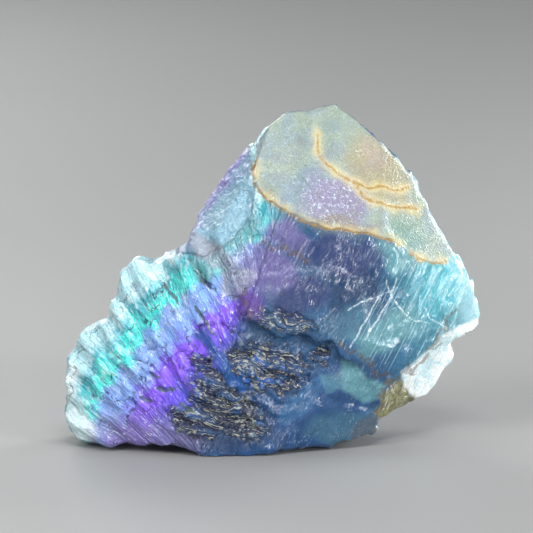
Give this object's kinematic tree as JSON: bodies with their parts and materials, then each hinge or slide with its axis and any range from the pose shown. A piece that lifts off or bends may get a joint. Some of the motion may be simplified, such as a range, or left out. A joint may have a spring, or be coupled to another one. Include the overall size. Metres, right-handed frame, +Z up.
{
  "type": "fluorite specimen",
  "caption": "Broken piece of banded vein fluorite with a ribbed arm, a tall cleaved block and a sloping top face, resting on a flat base.",
  "frame": {"origin": "under the middle of the bounding box, on the plane of the flat base", "axes": "+X to the right across the front, along the longest side; +Y from front to back, through the thinnest side; +Z up"},
  "size_m": [0.089, 0.0336, 0.0719],
  "materials": {
    "fluorite": "glassy cleaved and broken surfaces, banded teal, violet and indigo"
  },
  "bodies": {
    "root": {"fluorite": "fluorite"}
  },
  "joints": []
}
